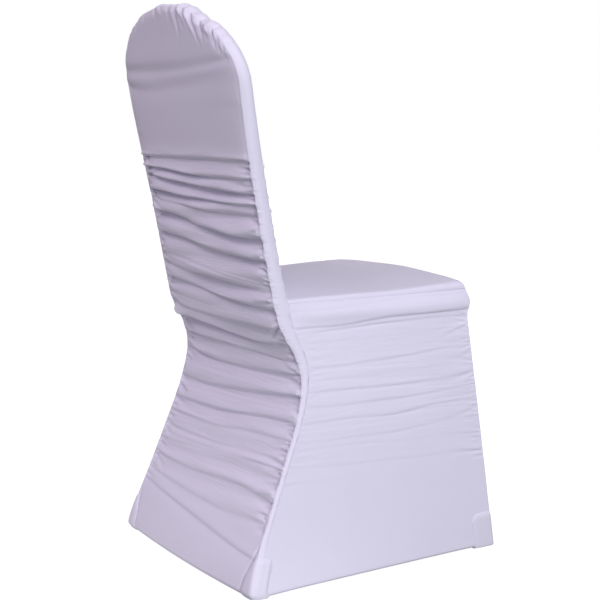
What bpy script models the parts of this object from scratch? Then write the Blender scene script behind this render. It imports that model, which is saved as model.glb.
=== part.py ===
"""Fitted stretch cover for a round-backed banquet chair, hollow, in the shape it takes on its chair.

Axes: +Z up, floor at z = 0, the sitter faces -Y, the sitter's right is -X.
Every panel is a sheet that runs between two seam lines, set back a little from each of them.
"""
import math
from collections import namedtuple

import bmesh
import bpy
from mathutils import Vector

RIGHT, LEFT = -1, 1

# Cloth and seams
CLOTH = 0.0012
POCKET_CLOTH = 0.0014
SETBACK = 0.0009
CORNER_SETBACK = 0.0012
HEM_HEIGHT = 0.0022
POCKET_GAP = 0.00035

# Heights of the main lines
SHOULDER = 0.825
CROWN_RISE = 0.116
CROWN_SWAY = 0.010
SHOULDER_SWELL = 0.007
SWELL_MIDDLE = math.radians(132)
SWELL_REACH = math.radians(22)
SEAT_EDGE = 0.470
CROWN_START = 0.715
SHIFT_TO_CENTRE = -0.0146

# Pad shapes under the cloth
CROWN_BULGE = 0.010
BULGE_FOCUS = 8
SIDE_BULGE = 0.0025
BAND_CROWN_WIDTH = 0.025
BAND_CROWN_LIFT = 0.003
SEAT_CROWN = 0.0045
SEAT_EDGE_RISE = 0.0185
SEAT_EDGE_REACH = 0.026
SEAT_REAR_CROWN = 0.010
SEAT_SIDE_BOW = 0.004
PAD_BULGE = 0.0060
PAD_MIDDLE = 0.449
PAD_HALF_HEIGHT = 0.016

# Foot pockets
POCKET_HEIGHT = 0.064
REAR_POCKET_SIDE = 0.020
REAR_POCKET_BACK = 0.024
FRONT_POCKET_SIDE = 0.044
FRONT_POCKET_FRONT = 0.030
POCKET_LEVELS = (1.0, 0.93, 0.62, 0.30, 0.08, 0.0)
SOLE_STEPS = (0.45, 1.0)

# Columns across the panels
BACK_COLUMNS = 14
SKIRT_COLUMNS = 10
BAND_COLUMNS = 3

# Rear seam of one side, from hem to crown; fullness is how far the panel bows out at its middle
RearStation = namedtuple("RearStation", "height depth half_width fullness")
REAR_SEAM = (
    RearStation(0.000, 0.2600, 0.2353, 0.009),
    RearStation(0.060, 0.2480, 0.2275, 0.008),
    RearStation(0.120, 0.2250, 0.2208, 0.006),
    RearStation(0.200, 0.1932, 0.2148, 0.006),
    RearStation(0.270, 0.1665, 0.2108, 0.007),
    RearStation(0.320, 0.1540, 0.2075, 0.009),
    RearStation(0.355, 0.1530, 0.2045, 0.009),
    RearStation(0.385, 0.1620, 0.2015, 0.007),
    RearStation(0.412, 0.1765, 0.1990, 0.005),
    RearStation(0.440, 0.1895, 0.1968, 0.004),
    RearStation(0.480, 0.1985, 0.1948, 0.005),
    RearStation(0.550, 0.2126, 0.1936, 0.007),
    RearStation(0.620, 0.2262, 0.1942, 0.008),
    RearStation(0.700, 0.2424, 0.1975, 0.008),
    RearStation(0.780, 0.2570, 0.2035, 0.007),
    RearStation(0.825, 0.2640, 0.2060, 0.006),
    RearStation(0.880, 0.2745, 0.2065, 0.004),
    RearStation(0.950, 0.2865, 0.2065, 0.002),
)

# Edge band: its width forward of the rear seam, and how far its front edge stands out from it
BandStation = namedtuple("BandStation", "height width splay")
EDGE_BAND = (
    BandStation(0.000, 0.0100, 0.0030),
    BandStation(0.250, 0.0100, 0.0030),
    BandStation(0.330, 0.0130, 0.0028),
    BandStation(0.400, 0.0210, 0.0020),
    BandStation(0.460, 0.0262, 0.0015),
    BandStation(0.640, 0.0268, 0.0015),
    BandStation(0.825, 0.0225, 0.0015),
)

# Front corner seam of one side; bow is how far the front skirt stands forward at its middle
FrontStation = namedtuple("FrontStation", "height depth half_width bow")
FRONT_SEAM = (
    FrontStation(0.000, -0.2540, 0.2040, 0.000),
    FrontStation(0.200, -0.2225, 0.2045, 0.002),
    FrontStation(0.340, -0.1995, 0.2050, 0.005),
    FrontStation(0.400, -0.1895, 0.2050, 0.008),
    FrontStation(0.427, -0.1865, 0.2050, 0.010),
    FrontStation(0.450, -0.1905, 0.2055, 0.013),
    FrontStation(0.470, -0.1845, 0.2005, 0.012),
)

# Inner face of the backrest: how far its padding stands forward of the band's front edge
PadStation = namedtuple("PadStation", "height fullness")
INNER_PAD = (
    PadStation(0.460, 0.012),
    PadStation(0.540, 0.021),
    PadStation(0.680, 0.024),
    PadStation(0.780, 0.021),
    PadStation(0.825, 0.019),
    PadStation(0.950, 0.014),
)

# Folds: troughs between two seams, with their heights there and their depths at start, middle and end
Fold = namedtuple("Fold", "start end deep_start deep_middle deep_end")
BACK_FOLDS = (
    Fold(0.056, 0.092, 0.0022, 0.0010, 0.0008),
    Fold(0.144, 0.137, 0.0026, 0.0018, 0.0022),
    Fold(0.168, 0.156, 0.0020, 0.0014, 0.0024),
    Fold(0.196, 0.176, 0.0030, 0.0016, 0.0018),
    Fold(0.222, 0.199, 0.0022, 0.0020, 0.0026),
    Fold(0.246, 0.221, 0.0034, 0.0022, 0.0020),
    Fold(0.269, 0.243, 0.0030, 0.0026, 0.0030),
    Fold(0.292, 0.264, 0.0022, 0.0018, 0.0024),
    Fold(0.314, 0.284, 0.0034, 0.0030, 0.0028),
    Fold(0.333, 0.307, 0.0024, 0.0020, 0.0022),
    Fold(0.352, 0.331, 0.0036, 0.0034, 0.0026),
    Fold(0.373, 0.362, 0.0024, 0.0018, 0.0026),
    Fold(0.394, 0.394, 0.0036, 0.0034, 0.0034),
    Fold(0.420, 0.432, 0.0026, 0.0020, 0.0024),
    Fold(0.450, 0.472, 0.0036, 0.0030, 0.0024),
    Fold(0.478, 0.502, 0.0024, 0.0026, 0.0030),
    Fold(0.506, 0.531, 0.0034, 0.0018, 0.0020),
    Fold(0.536, 0.559, 0.0030, 0.0032, 0.0030),
    Fold(0.570, 0.593, 0.0038, 0.0026, 0.0024),
    Fold(0.600, 0.612, 0.0022, 0.0016, 0.0022),
    Fold(0.625, 0.630, 0.0036, 0.0034, 0.0030),
    Fold(0.643, 0.656, 0.0034, 0.0020, 0.0022),
    Fold(0.668, 0.672, 0.0032, 0.0028, 0.0026),
    Fold(0.697, 0.693, 0.0026, 0.0030, 0.0024),
)
FRONT_FOLDS = (
    Fold(0.497, 0.503, 0.0026, 0.0020, 0.0024),
    Fold(0.521, 0.516, 0.0030, 0.0026, 0.0022),
    Fold(0.543, 0.549, 0.0022, 0.0030, 0.0030),
    Fold(0.568, 0.566, 0.0034, 0.0018, 0.0024),
    Fold(0.590, 0.598, 0.0026, 0.0030, 0.0032),
    Fold(0.615, 0.612, 0.0034, 0.0024, 0.0020),
    Fold(0.637, 0.644, 0.0030, 0.0030, 0.0030),
    Fold(0.662, 0.659, 0.0024, 0.0018, 0.0028),
    Fold(0.688, 0.692, 0.0028, 0.0024, 0.0022),
)
SIDE_FOLDS = (
    Fold(0.199, 0.180, 0.0008, 0.0012, 0.0008),
    Fold(0.236, 0.223, 0.0012, 0.0020, 0.0014),
    Fold(0.264, 0.253, 0.0014, 0.0016, 0.0018),
    Fold(0.290, 0.286, 0.0012, 0.0022, 0.0020),
    Fold(0.316, 0.316, 0.0014, 0.0020, 0.0020),
    Fold(0.338, 0.337, 0.0010, 0.0012, 0.0016),
    Fold(0.361, 0.357, 0.0018, 0.0022, 0.0018),
    Fold(0.388, 0.386, 0.0010, 0.0012, 0.0020),
    Fold(0.421, 0.428, 0.0016, 0.0034, 0.0034),
)
SKIRT_FRONT_FOLDS = (
    Fold(0.182, 0.190, 0.0010, 0.0014, 0.0010),
    Fold(0.226, 0.219, 0.0016, 0.0020, 0.0014),
    Fold(0.256, 0.262, 0.0018, 0.0016, 0.0018),
    Fold(0.287, 0.283, 0.0018, 0.0022, 0.0016),
    Fold(0.316, 0.321, 0.0022, 0.0018, 0.0020),
    Fold(0.345, 0.340, 0.0014, 0.0020, 0.0018),
    Fold(0.370, 0.376, 0.0020, 0.0016, 0.0020),
    Fold(0.398, 0.394, 0.0014, 0.0018, 0.0014),
    Fold(0.427, 0.427, 0.0030, 0.0030, 0.0030),
)

# Rows beside each trough: part of the way to the next one, and how much of the trough is left there
FLANK = 0.24
FLANK_SHARE = 0.35
RIDGE_SHARE = 0.25
SEAM_FADE = 0.010


def smooth_value(rows, column, height):
    """Cubic through a table's column, with slopes taken from the neighbouring rows."""
    keys = [row.height for row in rows]
    values = [getattr(row, column) for row in rows]
    last = len(rows) - 1
    place = min(max(height, keys[0]), keys[last])
    low = max(k for k in range(last) if keys[k] <= place)

    def slope(k):
        before, after = max(k - 1, 0), min(k + 1, last)
        return (values[after] - values[before]) / (keys[after] - keys[before])

    span = keys[low + 1] - keys[low]
    t = (place - keys[low]) / span
    return ((2 * t**3 - 3 * t**2 + 1) * values[low]
            + (t**3 - 2 * t**2 + t) * span * slope(low)
            + (3 * t**2 - 2 * t**3) * values[low + 1]
            + (t**3 - t**2) * span * slope(low + 1))


def mix(start, end, share):
    """Straight line from start to end."""
    return start + (end - start) * share


def across(start, middle, end, share):
    """Parabola through three values at 0, one half and 1."""
    return (start * (1 - share) * (1 - 2 * share)
            + middle * 4 * share * (1 - share)
            + end * share * (2 * share - 1))


def rear_seam(side, height, inset=0.0):
    """Point on the seam between back panel and edge band, below the shoulder."""
    half_width = smooth_value(REAR_SEAM, "half_width", height) - inset
    depth = smooth_value(REAR_SEAM, "depth", height)
    return Vector((side * half_width, depth, height))


def arch_height(angle, inset=0.0):
    """Height of the crown's rear seam: half an ellipse, with a swell at the left shoulder."""
    swell = SHOULDER_SWELL * math.exp(-((angle - SWELL_MIDDLE) / SWELL_REACH)**2)
    return SHOULDER + (CROWN_RISE - inset) * math.sin(angle) + swell * math.sin(angle)


def rear_arch(angle, inset=0.0):
    """The same seam over the crown: half an ellipse from the right shoulder (0) to the left one (pi).

    Its top sways a little to the left and its left shoulder is fuller, as the stretched cloth sits there.
    """
    half_width = smooth_value(REAR_SEAM, "half_width", SHOULDER) - inset
    height = arch_height(angle, inset)
    depth = smooth_value(REAR_SEAM, "depth", height)
    sway = CROWN_SWAY * math.sin(angle)**2
    return Vector((sway - half_width * math.cos(angle), depth, height))


def band_front(side, height):
    """Point on the edge band's front seam, at the same height as the rear seam's point."""
    width = smooth_value(EDGE_BAND, "width", height)
    splay = smooth_value(EDGE_BAND, "splay", height)
    return rear_seam(side, height) + Vector((side * splay, -width, 0.0))


def band_front_arch(angle, inset=0.0):
    """The band's front seam over the crown."""
    splay = smooth_value(EDGE_BAND, "splay", SHOULDER)
    width = mix(smooth_value(EDGE_BAND, "width", SHOULDER), BAND_CROWN_WIDTH, math.sin(angle))
    shift = Vector((-splay * math.cos(angle), -width, BAND_CROWN_LIFT * math.sin(angle)))
    return rear_arch(angle, inset) + shift


def front_seam(side, height):
    """Point on the seam between side skirt and front skirt."""
    half_width = smooth_value(FRONT_SEAM, "half_width", height)
    return Vector((side * half_width, smooth_value(FRONT_SEAM, "depth", height), height))


def fold_rows(folds, bottom, top, flanked=False):
    """Rows of a gathered panel: each is (height at start, at end, relief at start, middle, end)."""
    ridge = (0.5, RIDGE_SHARE)
    flanks = ((FLANK, -FLANK_SHARE), ridge, (1 - FLANK, -FLANK_SHARE))
    beside = flanks if flanked else (ridge,)
    rows = [(bottom, bottom, 0.0, 0.0, 0.0)]
    for index, fold in enumerate(folds):
        rows.append((fold.start, fold.end, -fold.deep_start, -fold.deep_middle, -fold.deep_end))
        if index + 1 == len(folds):
            break
        after = folds[index + 1]
        for share, part_left in beside:
            reliefs = [mix(a, b, share) * part_left for a, b in zip(fold[2:], after[2:])]
            rows.append((mix(fold.start, after.start, share), mix(fold.end, after.end, share), *reliefs))
    rows.append((top, top, 0.0, 0.0, 0.0))
    return rows


def flank_rows(rows, where, reach, share):
    """Adds a row beside the first (0) or last (-1) trough, towards the panel's plain part."""
    trough = rows[1] if where == 0 else rows[-2]
    step = -reach if where == 0 else reach
    beside = (trough[0] + step, trough[1] + step, *[value * share for value in trough[2:]])
    rows.insert(1 if where == 0 else len(rows) - 1, beside)
    return rows


def plain_rows(heights):
    """Level rows with no relief."""
    return [(height, height, 0.0, 0.0, 0.0) for height in heights]


def seam_share(distance):
    """Folds flatten out towards the seam that gathers them."""
    return 0.15 + 0.85 * min(distance / SEAM_FADE, 1.0)


def even_to_ends(index, count):
    """0 to 1 in steps that shorten towards both ends."""
    return 0.5 - 0.5 * math.cos(math.pi * index / count)


def finish_sheet(bm, name, thickness, offset):
    """Turns an open grid into a named sheet of cloth with its own material."""
    mesh = bpy.data.meshes.new(name)
    bm.to_mesh(mesh)
    bm.free()
    sheet = bpy.data.objects.new(name, mesh)
    COVER.objects.link(sheet)
    sheet.parent = ORIGIN
    mesh.materials.append(cloth_material(name))
    solidify = sheet.modifiers.new("Cloth", "SOLIDIFY")
    solidify.thickness = thickness
    solidify.offset = offset
    solidify.use_even_offset = True
    mesh.shade_smooth()
    mesh.set_sharp_from_angle(angle=math.radians(55))
    return sheet


def grid_sheet(name, columns, rows, place, thickness=CLOTH, offset=0.0, weld=False):
    """A flat grid whose crossings go to place(column, row), then given its thickness."""
    bm = bmesh.new()
    bmesh.ops.create_grid(bm, x_segments=columns, y_segments=rows, size=1.0)
    for vert in bm.verts:
        column = round((vert.co.x + 1) / 2 * columns)
        row = round((vert.co.y + 1) / 2 * rows)
        vert.co = place(column, row)
    if weld:
        bmesh.ops.remove_doubles(bm, verts=bm.verts, dist=0.00002)
    return finish_sheet(bm, name, thickness, offset)


def cloth_material(name):
    """White stretch knit with a pale lavender cast; pockets are doubled and a little lighter."""
    material = bpy.data.materials.new(name)
    material.use_nodes = True
    shader = material.node_tree.nodes["Principled BSDF"]
    tint = (0.86, 0.85, 0.92, 1.0) if name.startswith("foot") else (0.82, 0.80, 0.88, 1.0)
    shader.inputs["Base Color"].default_value = tint
    shader.inputs["Roughness"].default_value = 0.7
    shader.inputs["Metallic"].default_value = 0.0
    material.diffuse_color = tint
    return material


def back_depth(over, height):
    """Depth of the back panel's plain surface, from side (over = -1) to side (1)."""
    bow = smooth_value(REAR_SEAM, "fullness", height) * (1 - over**2)
    return smooth_value(REAR_SEAM, "depth", height) + bow


def back_panel():
    """Outer rear panel: hem to crown, gathered along both side seams."""
    rows = fold_rows(BACK_FOLDS, HEM_HEIGHT, CROWN_START, flanked=True)
    rows = flank_rows(rows, 0, 0.020, 0.25)
    rows = flank_rows(rows, -1, 0.008, 0.25)
    crown_shares = (0.25, 0.5, 0.72, 0.88, 1.0)
    total = len(rows) + len(crown_shares) - 1

    def place(column, row):
        angle = math.pi * column / BACK_COLUMNS
        over = -math.cos(angle)
        share = (over + 1) / 2
        if row < len(rows):
            start, end, *reliefs = rows[row]
            height = mix(start, end, share)
            relief = across(*reliefs, share)
            crown = 0.0
        else:
            crown = crown_shares[row - len(rows)]
            height = mix(CROWN_START, arch_height(angle, SETBACK), crown)
            relief = 0.0
        half_width = smooth_value(REAR_SEAM, "half_width", min(height, SHOULDER)) - SETBACK
        to_seam = half_width * (1 - abs(over))
        edge_depth = smooth_value(REAR_SEAM, "depth", height)
        depth = mix(back_depth(over, height), edge_depth, crown**3) + relief * seam_share(to_seam)
        sway = CROWN_SWAY * (crown * math.sin(angle))**2
        return Vector((half_width * over + sway, depth, height))

    grid_sheet("back_panel", BACK_COLUMNS, total, place)


def leg_fade(height):
    """0 below the foot pockets' tops, 1 a little above them."""
    return min(max((height - POCKET_HEIGHT - 0.01) / 0.05, 0.0), 1.0)


def band_sections():
    """Rear point, front point, outward direction and bulge, from the right hem over the crown to the left."""
    heights = [HEM_HEIGHT, 0.03, 0.062, 0.095, 0.13, 0.165, 0.20, 0.225]
    heights += [0.24 + 0.0115 * step for step in range(22)]
    heights += [0.52, 0.56, 0.60, 0.64, 0.68, 0.72, 0.76, 0.795]
    rising = [(rear_seam(RIGHT, height), band_front(RIGHT, height), Vector((RIGHT, 0, 0)), SIDE_BULGE)
              for height in heights]
    falling = [(rear_seam(LEFT, height), band_front(LEFT, height), Vector((LEFT, 0, 0)), SIDE_BULGE)
               for height in reversed(heights)]
    arch = []
    for step in range(BACK_COLUMNS + 1):
        angle = math.pi * step / BACK_COLUMNS
        outward = Vector((-math.cos(angle) * CROWN_RISE, 0, math.sin(angle) * 0.206)).normalized()
        bulge = mix(SIDE_BULGE, CROWN_BULGE, math.sin(angle)**BULGE_FOCUS)
        arch.append((rear_arch(angle), band_front_arch(angle), outward, bulge))
    return rising + arch + falling


def edge_band():
    """Plain strip between the back panel and the front panel, narrowing down the rear legs."""
    sections = band_sections()

    def place(column, row):
        rear, front, outward, bulge = sections[row]
        width = (front - rear).length
        share = mix(SETBACK / width, 1 - SETBACK / width, column / BAND_COLUMNS)
        bulge = min(bulge, width * 0.12) * leg_fade(rear.z) if rear.z < SHOULDER else bulge
        return rear.lerp(front, share) + outward * bulge * 4 * share * (1 - share)

    grid_sheet("edge_band", BAND_COLUMNS, len(sections) - 1, place)


def seat_rear_height(over):
    """Height of the line where seat and backrest meet, from side (+-1) to side."""
    return SEAT_EDGE + SEAT_REAR_CROWN * (1 - over**4)


def inner_face(over, height, half_width, fade=1.0):
    """Point on the backrest's padded inner face."""
    side = LEFT if over > 0 else RIGHT
    level = min(height, SHOULDER)
    depth = band_front(side, level).y
    if height > SHOULDER:
        depth += smooth_value(REAR_SEAM, "depth", height) - smooth_value(REAR_SEAM, "depth", SHOULDER)
    pad = smooth_value(INNER_PAD, "fullness", height) * (1 - over**4) * fade
    return Vector((half_width * over, depth - pad, height))


def front_panel():
    """Inner face of the backrest: gathered between seat and upper back, plain above."""
    rows = fold_rows(FRONT_FOLDS, SEAT_EDGE, CROWN_START)
    rows = flank_rows(rows, -1, 0.008, 0.25)
    crown_shares = (0.3, 0.6, 0.85, 1.0)
    total = len(rows) + len(crown_shares) - 1

    def place(column, row):
        angle = math.pi * column / BACK_COLUMNS
        over = -math.cos(angle)
        share = (over + 1) / 2
        fade = 1.0
        relief = 0.0
        if row == 0:
            height = seat_rear_height(over) + SETBACK
        elif row < len(rows):
            start, end, *reliefs = rows[row]
            height = mix(start, end, share)
            relief = across(*reliefs, share)
        else:
            crown = crown_shares[row - len(rows)]
            top = band_front_arch(angle, SETBACK)
            height = mix(CROWN_START, top.z, crown)
            fade = 1 - crown**3
        side = LEFT if over > 0 else RIGHT
        half_width = abs(band_front(side, min(height, SHOULDER)).x) - SETBACK
        point = inner_face(over, height, half_width, fade)
        point.x += CROWN_SWAY * ((1 - fade)**0.667 * math.sin(angle))**2
        point.y -= relief * seam_share(half_width * (1 - abs(over)))
        return point

    grid_sheet("front_panel", BACK_COLUMNS, total, place)


def pad_edge(distance):
    """Rounded edge of the seat pad: 0 at the edge, rising to 1 over the pad's rounding."""
    return math.sqrt(1 - (1 - min(distance / SEAT_EDGE_REACH, 1.0))**2)


def seat_panel():
    """Crowned seat top, from the backrest to the front edge."""
    steps = 12
    front_corner = front_seam(RIGHT, SEAT_EDGE)
    bow = smooth_value(FRONT_SEAM, "bow", SEAT_EDGE)

    def place(column, row):
        over = -math.cos(math.pi * column / BACK_COLUMNS)
        run = even_to_ends(row, steps)
        rear = inner_face(over, seat_rear_height(over), abs(band_front(RIGHT, SEAT_EDGE).x))
        front = Vector((abs(front_corner.x) * over, front_corner.y - bow * (1 - over**4), SEAT_EDGE))
        length = (front - rear).length
        along = mix(SETBACK / length, 1 - SETBACK / length, run)
        point = rear.lerp(front, along)
        to_side = front_corner.length * (1 - abs(over))
        point.z += SEAT_CROWN * (1 - over**2) * (1 - (2 * along - 1)**2)
        point.z += SEAT_EDGE_RISE * pad_edge(to_side) * pad_edge((1 - along) * length)
        point.x += SEAT_SIDE_BOW * over * (1 - (2 * along - 1)**4)
        point.x -= math.copysign(SETBACK, over) * abs(over)
        return point

    grid_sheet("seat_panel", BACK_COLUMNS, steps, place)


def skirt_rows(folds, top):
    """Rows of a skirt panel: plain above the hem, gathered higher up, then the pad's rounded edge."""
    rows = fold_rows(folds, HEM_HEIGHT, top)
    rows = flank_rows(rows, 0, 0.012, 0.3)
    pad = [mix(folds[-1].start, top, share) for share in (0.3, 0.62, 0.85)]
    rows[-1:-1] = plain_rows(pad)
    rows[1:1] = plain_rows((0.03, 0.062, 0.095, 0.13))
    return rows


def pad_bulge(height):
    """The seat pad's edge pushes the skirt out over a short height."""
    return PAD_BULGE * math.exp(-((height - PAD_MIDDLE) / PAD_HALF_HEIGHT)**2)


def side_skirt(side, name, folds):
    """Side skirt, ruled between the edge band's front seam and the front corner seam."""
    top = SEAT_EDGE - SETBACK
    rows = skirt_rows(folds, top)

    def place(column, row):
        start, end, *reliefs = rows[row]
        run = even_to_ends(column, SKIRT_COLUMNS)
        height = mix(start, end, run)
        rear, front = band_front(side, height), front_seam(side, height)
        length = (front - rear).length
        along = mix(SETBACK / length, 1 - CORNER_SETBACK / length, run)
        point = rear.lerp(front, along)
        fade = seam_share(length * min(run, 1 - run))
        bulge = 1 - (2 * along - 1)**4
        relief = across(*reliefs, run) * fade
        lift = (pad_bulge(height) + SEAT_SIDE_BOW * (height / SEAT_EDGE)**3) * bulge
        point.x += side * (relief + lift)
        return point

    grid_sheet(name, SKIRT_COLUMNS, len(rows) - 1, place)


def front_skirt():
    """Front skirt, between the two front corner seams."""
    top = SEAT_EDGE - SETBACK
    rows = skirt_rows(SKIRT_FRONT_FOLDS, top)

    def place(column, row):
        start, end, *reliefs = rows[row]
        share = even_to_ends(column, SKIRT_COLUMNS)
        over = 2 * share - 1
        height = mix(start, end, share)
        corner = front_seam(LEFT, height)
        half_width = corner.x - CORNER_SETBACK
        fade = seam_share(half_width * (1 - abs(over)))
        bow = smooth_value(FRONT_SEAM, "bow", height) * (1 - over**4)
        relief = across(*reliefs, share) * fade
        return Vector((half_width * over, corner.y - bow - relief, height))

    grid_sheet("front_skirt", SKIRT_COLUMNS, len(rows) - 1, place)


def offset_path(points, side, distance):
    """Moves a plan path outwards by a distance, with mitred corners."""
    normals = []
    for first, second in zip(points, points[1:]):
        run = (second - first).normalized()
        normals.append(Vector((run.y, -run.x)) * -side)
    moved = []
    for index, point in enumerate(points):
        before = normals[max(index - 1, 0)]
        after = normals[min(index, len(normals) - 1)]
        mitre = (before + after).normalized()
        moved.append(point + mitre * distance / mitre.dot(after))
    return moved


def rear_foot_path(side, height):
    """Plan path round a rear corner: back panel, edge band, side skirt."""
    rear, front = rear_seam(side, height), band_front(side, height)
    forward = (front_seam(side, height) - front).normalized()
    backs = []
    for share in (1.0, 0.6, 0.25):
        x = rear.x - side * REAR_POCKET_BACK * share
        backs.append(Vector((x, back_depth(x / rear.x, height))))
    end = front.xy + forward.xy * REAR_POCKET_SIDE
    return [*backs, rear.xy, front.xy, front.xy.lerp(end, 0.5), end]


def front_foot_path(side, height):
    """Plan path round a front corner: side skirt, then front skirt."""
    corner = front_seam(side, height)
    backward = (band_front(side, height) - corner).normalized()
    start = corner.xy + backward.xy * FRONT_POCKET_SIDE
    end = Vector((corner.x - side * FRONT_POCKET_FRONT, corner.y))
    return [start, start.lerp(corner.xy, 0.5), corner.xy, corner.xy.lerp(end, 0.5), end]


def foot_pocket(name, side, foot_path):
    """Doubled patch round a bottom corner, closed under the chair's foot by a flat sole."""
    clearance = CLOTH / 2 + POCKET_GAP

    def wall(height):
        path = offset_path(foot_path(side, max(height, HEM_HEIGHT)), side, clearance * 1.15)
        return [Vector((point.x, point.y, height)) for point in path]

    columns = len(foot_path(side, HEM_HEIGHT)) - 1
    levels = [POCKET_CLOTH + (POCKET_HEIGHT - POCKET_CLOTH) * share for share in POCKET_LEVELS]
    rings = [wall(level) for level in levels]
    ground = rings[-1]
    if foot_path is rear_foot_path:
        inner = Vector((ground[0].x, ground[-1].y, POCKET_CLOTH))
    else:
        inner = Vector((ground[-1].x, ground[0].y, POCKET_CLOTH))
    rings += [[point.lerp(inner, step) for point in ground] for step in SOLE_STEPS]

    def place(column, row):
        return rings[row][column]

    grid_sheet(name, columns, len(rings) - 1, place, POCKET_CLOTH, 1.0 if side == LEFT else -1.0, True)


def shifted(folds, by):
    """The other side's folds: the same gathering, a little higher and lower in turn."""
    return tuple(fold._replace(start=fold.start + by * math.sin(2.1 * index),
                               end=fold.end + by * math.cos(1.7 * index))
                 for index, fold in enumerate(folds))


for old in list(bpy.data.objects):
    bpy.data.objects.remove(old, do_unlink=True)

COVER = bpy.data.collections.new("chair_cover")
bpy.context.scene.collection.children.link(COVER)
ORIGIN = bpy.data.objects.new("cover_origin", None)
ORIGIN.location = (0.0, SHIFT_TO_CENTRE, 0.0)
COVER.objects.link(ORIGIN)

back_panel()
edge_band()
front_panel()
seat_panel()
side_skirt(RIGHT, "side_skirt_right", SIDE_FOLDS)
side_skirt(LEFT, "side_skirt_left", shifted(SIDE_FOLDS, 0.004))
front_skirt()
foot_pocket("foot_pocket_rear_right", RIGHT, rear_foot_path)
foot_pocket("foot_pocket_rear_left", LEFT, rear_foot_path)
foot_pocket("foot_pocket_front_right", RIGHT, front_foot_path)
foot_pocket("foot_pocket_front_left", LEFT, front_foot_path)
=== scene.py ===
import math

import bpy
import numpy as np
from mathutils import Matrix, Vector


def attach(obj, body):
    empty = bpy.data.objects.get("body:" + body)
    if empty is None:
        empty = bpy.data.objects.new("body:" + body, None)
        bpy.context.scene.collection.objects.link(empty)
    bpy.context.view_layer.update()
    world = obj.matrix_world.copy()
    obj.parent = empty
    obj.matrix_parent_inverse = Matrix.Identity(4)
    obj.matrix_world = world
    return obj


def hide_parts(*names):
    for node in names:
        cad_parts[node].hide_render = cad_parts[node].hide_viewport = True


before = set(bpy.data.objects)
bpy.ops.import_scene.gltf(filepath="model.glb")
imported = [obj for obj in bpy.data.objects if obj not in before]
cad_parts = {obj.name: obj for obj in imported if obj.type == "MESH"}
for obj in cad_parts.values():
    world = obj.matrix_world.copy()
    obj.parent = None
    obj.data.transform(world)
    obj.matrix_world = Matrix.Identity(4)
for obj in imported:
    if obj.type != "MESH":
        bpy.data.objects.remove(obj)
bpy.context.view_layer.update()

# Rear panel. One long piece of white stretch knit from the crown to the hem, cut longer than the
# chair's back and gathered onto the edge band along both side seams, so that it lies in uneven
# creases between z = 0.06 and 0.70. Above that it is stretched plain over the pad.

# The sitter's right is at negative x. Pieces are drawn with the cover's own depths, and frame_shift moves
# them into the frame when they are sewn.
RIGHT, LEFT = -1, 1
frame_shift = -0.0146
shoulder, crown_half, crown_rise, crown_peak, crown_sway = 0.825, 0.206, 0.116, 0.0074, 0.010
swell_height, swell_angle, swell_reach = 0.007, math.radians(132), math.radians(22)
gather_top, hem_height, cloth, pocket_top = 0.715, 0.0022, 0.0008, 0.064

# Rear seam of one side, from hem to crown: height, depth, half width, fullness of the panel's middle
rear_stations = np.array([
    (0.000, 0.2580, 0.2330, 0.009), (0.011, 0.2636, 0.2350, 0.009), (0.060, 0.2486, 0.2277, 0.008),
    (0.120, 0.2250, 0.2208, 0.006), (0.200, 0.1932, 0.2148, 0.006), (0.270, 0.1665, 0.2108, 0.007),
    (0.320, 0.1540, 0.2075, 0.009), (0.355, 0.1530, 0.2045, 0.009), (0.385, 0.1620, 0.2015, 0.007),
    (0.412, 0.1765, 0.1990, 0.005), (0.440, 0.1895, 0.1968, 0.004), (0.480, 0.1985, 0.1948, 0.005),
    (0.550, 0.2126, 0.1936, 0.007), (0.620, 0.2262, 0.1942, 0.008), (0.700, 0.2424, 0.1975, 0.008),
    (0.780, 0.2570, 0.2035, 0.007), (0.825, 0.2640, 0.2060, 0.006), (0.880, 0.2745, 0.2065, 0.004),
    (0.950, 0.2865, 0.2065, 0.002)])

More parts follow.
